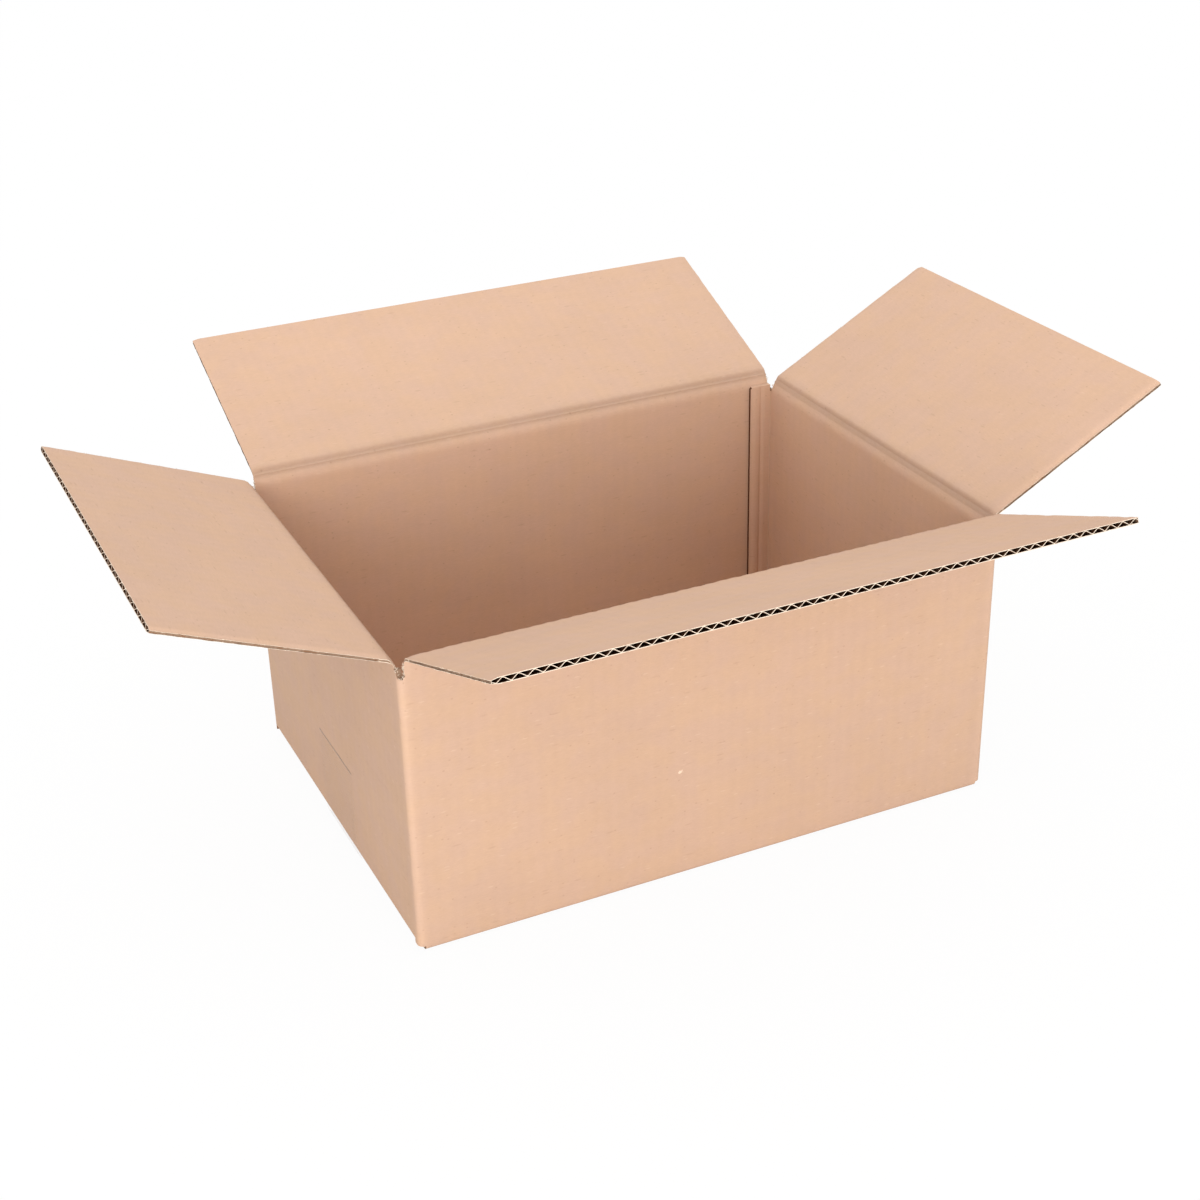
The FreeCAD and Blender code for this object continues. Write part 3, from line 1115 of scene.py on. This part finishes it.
def fluted_board(name, tree, crease, depth, middle, rise, matrix, seed, rise_way=1.0, blunt=0.0):
    """Open corrugated board laid in its place by a matrix, with its place on the blank as UV."""
    board, cut = settings().board, settings().cut
    half_way = (crease.start + crease.end) / 2
    span = crease.end - crease.start
    outer, inner, edge, medium, crushed = board_materials()
    pinches = side_pinches(crease.name)
    mesh = grow(link(name, bpy.data.meshes.new(name)), tree, {
        "Run": span, "Depth": depth, "Pitch": board.pitch, "Board": board.board,
        "Liner": board.liner, "Medium": board.medium, "Phase": half_way + middle,
        "Ragged": cut.ragged, "Pinch": pinches[0], "Far pinch": pinches[1],
        "Pinch reach": cut.pinch_reach, "Corner": cut.corner, "Blunt": blunt, "Seed": seed,
        "Along": 80, "Across": max(5, int(depth / 0.0022)), "Rings": int(span / board.pitch * 10) + 1,
        "Outer liner": outer, "Inner liner": inner, "Fluted paper": medium, "Cut edge": edge,
        "Crushed side": crushed,
    })
    flat = read_points(mesh)
    spots = np.column_stack((flat[:, 0] + half_way + middle, rise + rise_way * flat[:, 1]))
    write_spots(mesh, spots.astype(np.float32), np.zeros(len(flat), np.float32))
    mesh.transform(matrix @ Matrix.Translation((half_way, 0, 0)))
    if matrix.determinant() < 0:
        mesh.flip_normals()
    soften(mesh, 40.0)
    return mesh


def axes_matrix(origin, x, y, z):
    """A matrix from its origin and its three axes."""
    rows = Matrix((x, y, z)).transposed()
    return Matrix.Translation(origin) @ rows.to_4x4()


def join_meshes(name, meshes):
    """Join finished meshes into one piece."""
    pieces = [link(name + str(i), mesh) for i, mesh in enumerate(meshes)]
    with bpy.context.temp_override(active_object=pieces[0], selected_editable_objects=pieces):
        bpy.ops.object.join()
    pieces[0].name = name
    pieces[0].data.name = name
    return pieces[0]


def fibre_tree():
    """Small bent fibres on some of a carrier's points, each standing along its away vector."""
    tree, graph, given = new_tree("torn_fibres", [
        ("Carrier", "Geometry"), ("Share", "Float"), ("Length", "Float"), ("Width", "Float"),
        ("Seed", "Int"), ("Paper", "Material"),
    ])
    size = given["Length"]
    line = graph.add("GeometryNodeCurveQuadraticBezier", None, 5,
                     graph.vector(0.0, 0.0, size * -0.25), graph.vector(size * 0.12, 0.0, size * 0.4),
                     graph.vector(size * 0.45, size * 0.15, size * 0.8))
    ring = graph.add("GeometryNodeCurvePrimitiveCircle", {"mode": "RADIUS"}, 4)
    thin = 1.1 - graph.add("GeometryNodeSplineParameter").out("Factor")
    fibre = graph.add("GeometryNodeCurveToMesh", None, line, ring.out("Curve"),
                      thin * given["Width"], True)
    away = graph.add("GeometryNodeInputNamedAttribute", {"data_type": "FLOAT_VECTOR"},
                     Name="away").out("Attribute")
    stand = graph.add("FunctionNodeAlignRotationToVector", {"axis": "Z"}, Vector=away)
    lean = graph.add("FunctionNodeRandomValue", {"data_type": "FLOAT_VECTOR"},
                     Min=(-0.9, -0.9, -3.0), Max=(0.9, 0.9, 3.0), Seed=given["Seed"])
    lean = graph.add("FunctionNodeEulerToRotation", None, lean)
    turned = graph.add("FunctionNodeRotateRotation", {"rotation_space": "LOCAL"}, stand, lean)
    grown = graph.add("FunctionNodeRandomValue", {"data_type": "FLOAT_VECTOR"},
                      Min=(0.6, 0.6, 0.35), Max=(1.6, 1.6, 1.2), Seed=given["Seed"])
    kept = graph.add("FunctionNodeRandomValue", {"data_type": "BOOLEAN"},
                     Probability=given["Share"], Seed=given["Seed"])
    set_out = graph.add("GeometryNodeInstanceOnPoints", None, Points=given["Carrier"],
                        Selection=kept, Instance=fibre, Rotation=turned, Scale=grown)
    real = graph.add("GeometryNodeRealizeInstances", None, set_out)
    graph.add("NodeGroupOutput", None, painted(graph, real, given["Paper"]))
    return tree


def grow_fibres(name, tree, roots, chance, seed, scale=1.0):
    """Grow fibres on (point, away) roots and return their piece."""
    cut = settings().cut
    mesh = bpy.data.meshes.new(name)
    mesh.from_pydata([tuple(point) for point, _ in roots], [], [])
    away = mesh.attributes.new("away", "FLOAT_VECTOR", "POINT")
    away.data.foreach_set("vector", [part for _, way in roots for part in way])
    grown = grow(link(name, mesh), tree, {
        "Share": chance, "Length": cut.fibre * scale, "Width": cut.fibre_width * scale,
        "Seed": seed, "Paper": bpy.data.materials["cut_paper"],
    })
    write_spots(grown, np.zeros((len(grown.vertices), 2), np.float32),
                np.zeros(len(grown.vertices), np.float32))
    soften(grown, 60.0)
    return link(name, grown)


def slot_roots():
    """Where fibres stand round the four top slots: up the walls' ends and along the bottoms."""
    cut, thick = settings().cut, settings().board.board
    floor = BODY_HIGH.z - cut.slot_drop
    spacing, below_crease = 0.00045, 0.0012
    roots = []
    for crease in CREASES.values():
        for at, way in ((crease.start, -1.0), (crease.end, 1.0)):
            away = crease.along * way + crease.out * 0.3
            for height in steps(floor, crease.origin.z - below_crease, spacing):
                for deep in (0.3, 0.7):
                    point = crease.face + crease.along * at - crease.out * thick * deep
                    roots.append((Vector((point.x, point.y, height)), away))
    for name, columns in top_slots():
        torn = torn_floor(name, columns)
        for column in columns:
            point = Vector(torn(column, floor))
            out = Vector((column.out_x, column.out_y, 0.0))
            roots += [(point - out * 0.0002, UP + out * 0.6), (point - out * 0.001, UP)]
    return roots


def flap_roots(crease):
    """Where fibres stand on a flap: along both its sides and its open flutes."""
    thick, cut = settings().board.board, settings().cut
    base = crease.origin + crease.inward * crease.skin
    side_spacing, edge_spacing, from_corner = 0.0012, 0.0024, 0.004
    roots = []
    for at, way in ((crease.start, -1.0), (crease.end, 1.0)):
        for reach in steps(settings().crease.root, crease.depth - 0.003, side_spacing):
            for level in (0.5 - cut.pinch / 2, 0.5 + cut.pinch / 2):
                point = base + crease.along * at + crease.flap * reach
                roots.append((point + crease.inward * thick * level, crease.along * way))
    for at in steps(crease.start + from_corner, crease.end - from_corner, edge_spacing):
        for level in (0.06, 0.94):
            point = base + crease.along * at + crease.flap * crease.depth
            roots.append((point + crease.inward * thick * level, crease.flap))
    return roots


def torn_tape(material):
    """The clear strip under the bottom and up both short walls, its ends torn on teeth."""
    tape, radius = settings().tape, settings().board.fold
    half = BODY_HIGH.x
    proud = (TAPE_HIGH.x - BODY_HIGH.x) * 0.6    # how far the film stands off the walls
    sunk = 0.00003                               # how far it is pressed into the bottom
    path = [(-half, z) for z in steps(TAPE_HIGH.z, radius, 0.01)]
    for i in range(1, 8):
        turn = i / 8 * math.pi / 2
        path.append((-half + radius * (1 - math.cos(turn)), radius * (1 - math.sin(turn))))
    rest = [(-x, z) for x, z in path[::-1]]
    path += [(x, 0.0) for x in steps(-half + radius, half - radius, 0.02)] + rest
    across = steps(TAPE_LOW.y, TAPE_HIGH.y, tape.tooth / 2)
    chance = np.random.default_rng(11)
    ends = chance.normal(0.0, 0.00012, (2, len(across)))
    points, faces = [], []
    for i, (x, z) in enumerate(path):
        back, ahead = path[max(i - 1, 0)], path[min(i + 1, len(path) - 1)]
        normal = Vector((-(ahead[1] - back[1]), 0, ahead[0] - back[0])).normalized()
        lift = sunk if normal.z > 0.9 else -proud
        for j, y in enumerate(across):
            drop = 0.0
            if i in (0, len(path) - 1):
                drop = tape.tear * (j % 2) + ends[0 if i == 0 else 1][j]
            points.append((x + normal.x * lift, y, z + normal.z * lift - drop))
    count = len(across)
    for i in range(len(path) - 1):
        for j in range(count - 1):
            a = i * count + j
            faces.append((a, a + 1, a + count + 1, a + count))
    mesh = bpy.data.meshes.new("tape_strip")
    mesh.from_pydata(points, [], faces)
    mesh.materials.append(material)
    soften(mesh, 60.0)
    return link("tape_strip", mesh)


def board_materials():
    """The board's materials in the order that every piece of board uses."""
    names = ("outside_liner", "inside_liner", "cut_paper", "medium_paper", "crushed_paper")
    return [bpy.data.materials[name] for name in names]


class CARTON_OT_papers(bpy.types.Operator):
    """Mix the papers and the tape's film"""
    bl_idname = "carton.papers"
    bl_label = "Papers"

    def execute(self, context):
        paper = context.scene.carton.paper
        # The number after the colour shifts crushed creases and folds: a painted highlight on the
        # outside, painted shade on the inside.
        kraft_liner("outside_liner", paper.outside[:], 0.05, outside=True)
        kraft_liner("inside_liner", paper.inside[:], -0.20, outside=False)
        torn_paper("cut_paper", paper.cut[:], 0.45)
        torn_paper("crushed_paper", paper.crushed[:], 0.8)
        medium_paper()
        clear_tape()
        return {"FINISHED"}


class CARTON_OT_walls(bpy.types.Operator):
    """Fold the walls, the glue tab and the bottom flaps from one sheet"""
    bl_idname = "carton.walls"
    bl_label = "Walls and bottom"

    def execute(self, context):
        piece = walls_and_bottom(board_materials())
        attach(piece, "carton")
        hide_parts("carton_body")
        return {"FINISHED"}


class CARTON_OT_bottom_flutes(bpy.types.Operator):
    """Open the flutes at the bottom flaps' cut ends"""
    bl_idname = "carton.bottom_flutes"
    bl_label = "Bottom flutes"

    def execute(self, context):
        board = settings().board
        tree = flute_tree()
        middles = walls_from_above()[1]
        meshes = []
        for index, (side, crease) in enumerate(CREASES.items()):
            low = flap_lows()[side]
            reach = bottom_depth(side) - board.open_flutes
            origin = Vector((crease.face.x, crease.face.y, low)) - crease.out * reach
            matrix = axes_matrix(origin, crease.along, -crease.out, UP)
            rise = low + board.fold * (1 - math.pi / 2) - (reach - board.fold)
            meshes.append(fluted_board(side + "_end", tree, crease, board.open_flutes,
                                       middles[side], rise, matrix, 40.0 + index, -1.0))
        piece = join_meshes("bottom_flap_ends", meshes)
        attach(piece, "carton")
        return {"FINISHED"}


class CARTON_OT_creases(bpy.types.Operator):
    """Press the four creases that the top flaps turn on"""
    bl_idname = "carton.creases"
    bl_label = "Creases"

    def execute(self, context):
        middles = walls_from_above()[1]
        for side, crease in CREASES.items():
            piece = top_crease(crease, middles[side], board_materials())
            half = crease.opened / 2
            tangent = crease.out * math.sin(half) + UP * math.cos(half)
            reach = tangent * settings().crease.bend
            side + "_flap"
            crease.origin - reach
            crease.origin + reach
            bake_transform(piece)
        return {"FINISHED"}


class CARTON_OT_flaps(bpy.types.Operator):
    """Grow the four top flaps with their open flutes"""
    bl_idname = "carton.flaps"
    bl_label = "Top flaps"

    def execute(self, context):
        root = settings().crease.root
        tree = flute_tree()
        middles = walls_from_above()[1]
        for index, (side, crease) in enumerate(CREASES.items()):
            name = side + "_flap_board"
            origin = crease.origin + crease.flap * root + crease.inward * crease.skin
            matrix = axes_matrix(origin, crease.along, crease.flap, crease.inward)
            blunt = settings().cut.blunt if side == "right" else 0.0
            mesh = fluted_board(name, tree, crease, crease.depth - root, middles[side],
                                crease.origin.z + root, matrix, 3.0 + index, blunt=blunt)
            piece = link(name, mesh)
            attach(piece, side + "_flap")
            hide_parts(side + "_top_flap")
        return {"FINISHED"}


class CARTON_OT_fibres(bpy.types.Operator):
    """Raise torn fibres at the slots and along the flaps' cut edges"""
    bl_idname = "carton.fibres"
    bl_label = "Torn fibres"

    def execute(self, context):
        tree = fibre_tree()
        piece = grow_fibres("slot_fibres", tree, slot_roots(), settings().cut.fuzz, 5)
        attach(piece, "carton")
        for index, (side, crease) in enumerate(CREASES.items()):
            name = side + "_flap_fibres"
            piece = grow_fibres(name, tree, flap_roots(crease), 0.22, 20 + index, 0.6)
            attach(piece, side + "_flap")
        return {"FINISHED"}


class CARTON_OT_tape(bpy.types.Operator):
    """Lay the clear tape along the bottom seam"""
    bl_idname = "carton.tape"
    bl_label = "Tape"

    def execute(self, context):
        piece = torn_tape(bpy.data.materials["clear_tape"])
        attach(piece, "carton")
        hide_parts("bottom_tape")
        return {"FINISHED"}


class CARTON_OT_stage(bpy.types.Operator):
    """Set the floor, the light and the camera"""
    bl_idname = "carton.stage"
    bl_label = "Stage"

    def execute(self, context):
        stage = context.scene.carton.stage
        lay_floor(stage)
        light_stage(stage)
        place_camera(stage)
        context.scene.view_settings.view_transform = "Standard"
        return {"FINISHED"}


def seen_directly(graph):
    """1 for rays that show the background: camera, mirror and see-through rays."""
    path = graph.add("ShaderNodeLightPath")
    most = graph.maths("MAXIMUM", path.out("Is Camera Ray"), path.out("Is Glossy Ray"))
    return graph.maths("MAXIMUM", most, path.out("Is Transmission Ray"))


def lay_floor(stage):
    """A plain pale floor that keeps a faint shadow."""
    half = stage.floor_half
    mesh = bpy.data.meshes.new("floor")
    corners = [(-half, -half, 0), (half, -half, 0), (half, half, 0), (-half, half, 0)]
    mesh.from_pydata(corners, [], [(0, 1, 2, 3)])
    material, graph = new_material("floor_white")
    diffuse = graph.add("ShaderNodeBsdfDiffuse", None, Color=(0.86, 0.86, 0.86))
    plain = graph.add("ShaderNodeEmission", None, Color=(1.0, 1.0, 1.0), Strength=1.0)
    factor = seen_directly(graph) * stage.floor_clean
    shader = graph.add("ShaderNodeMixShader", None, factor, diffuse, plain)
    graph.add("ShaderNodeOutputMaterial", None, Surface=shader)
    mesh.materials.append(material)
    floor = link("floor", mesh)
    floor.location.z = -stage.floor_drop


def light_stage(stage):
    """An even sky that the camera sees as white, and one large soft lamp low in front."""
    world = bpy.data.worlds.new("studio")
    bpy.context.scene.world = world
    world.use_nodes = True
    graph = Graph(world.node_tree)
    strength = stage.sky + seen_directly(graph) * (1.0 - stage.sky)
    sky = graph.add("ShaderNodeBackground", None, Color=(1.0, 1.0, 1.0), Strength=strength)
    graph.add("ShaderNodeOutputWorld", None, Surface=sky)
    lamp = bpy.data.lights.new("key_lamp", "AREA")
    lamp.shape = "DISK"
    lamp.size = stage.lamp_size
    lamp.energy = stage.lamp_power
    holder = bpy.data.objects.new("key_lamp", lamp)
    holder.location = stage.lamp
    toward = Vector(stage.aim) - Vector(stage.lamp)
    holder.rotation_euler = toward.to_track_quat("-Z", "Y").to_euler()
    bpy.context.scene.collection.objects.link(holder)


def place_camera(stage):
    """The camera at the picture's viewing angle."""
    camera = bpy.data.objects.new("camera", bpy.data.cameras.new("camera"))
    camera.data.lens = stage.lens
    camera.data.sensor_width = 36.0
    toward = Vector(stage.aim) - Vector(stage.camera)
    turn = toward.to_track_quat("-Z", "Y").to_matrix() @ Matrix.Rotation(stage.roll, 3, "Z")
    camera.matrix_world = Matrix.Translation(stage.camera) @ turn.to_4x4()
    bpy.context.scene.collection.objects.link(camera)
    bpy.context.scene.camera = camera


class CARTON_PT_panel(bpy.types.Panel):
    """The carton's pieces and settings"""
    bl_label = "Open carton"
    bl_idname = "CARTON_PT_panel"
    bl_space_type = "VIEW_3D"
    bl_region_type = "UI"
    bl_category = "Carton"

    def draw(self, context):
        layout = self.layout
        for step in STEPS:
            layout.operator(step.bl_idname)
        carton = context.scene.carton
        for group in (carton.board, carton.cut, carton.crease, carton.tab, carton.paper,
                      carton.tape, carton.stage):
            box = layout.box()
            box.label(text=group.bl_rna.name)
            for key in group.__annotations__:
                box.prop(group, key)


GROUPS = (BoardSizes, CutSizes, CreaseSizes, TabSizes, PaperFinish, TapeFinish, StageSettings,
          Carton)
STEPS = (CARTON_OT_papers, CARTON_OT_walls, CARTON_OT_bottom_flutes, CARTON_OT_creases,
         CARTON_OT_flaps, CARTON_OT_fibres, CARTON_OT_tape, CARTON_OT_stage)


def register():
    for one in GROUPS + STEPS + (CARTON_PT_panel,):
        bpy.utils.register_class(one)
    bpy.types.Scene.carton = PointerProperty(type=Carton)


def unregister():
    del bpy.types.Scene.carton
    for one in reversed(GROUPS + STEPS + (CARTON_PT_panel,)):
        bpy.utils.unregister_class(one)


def main():
    register()
    bpy.ops.carton.papers()
    bpy.ops.carton.walls()
    bpy.ops.carton.bottom_flutes()
    bpy.ops.carton.creases()
    bpy.ops.carton.flaps()
    bpy.ops.carton.fibres()
    bpy.ops.carton.tape()
    bpy.ops.carton.stage()


if __name__ == "__main__":
    main()
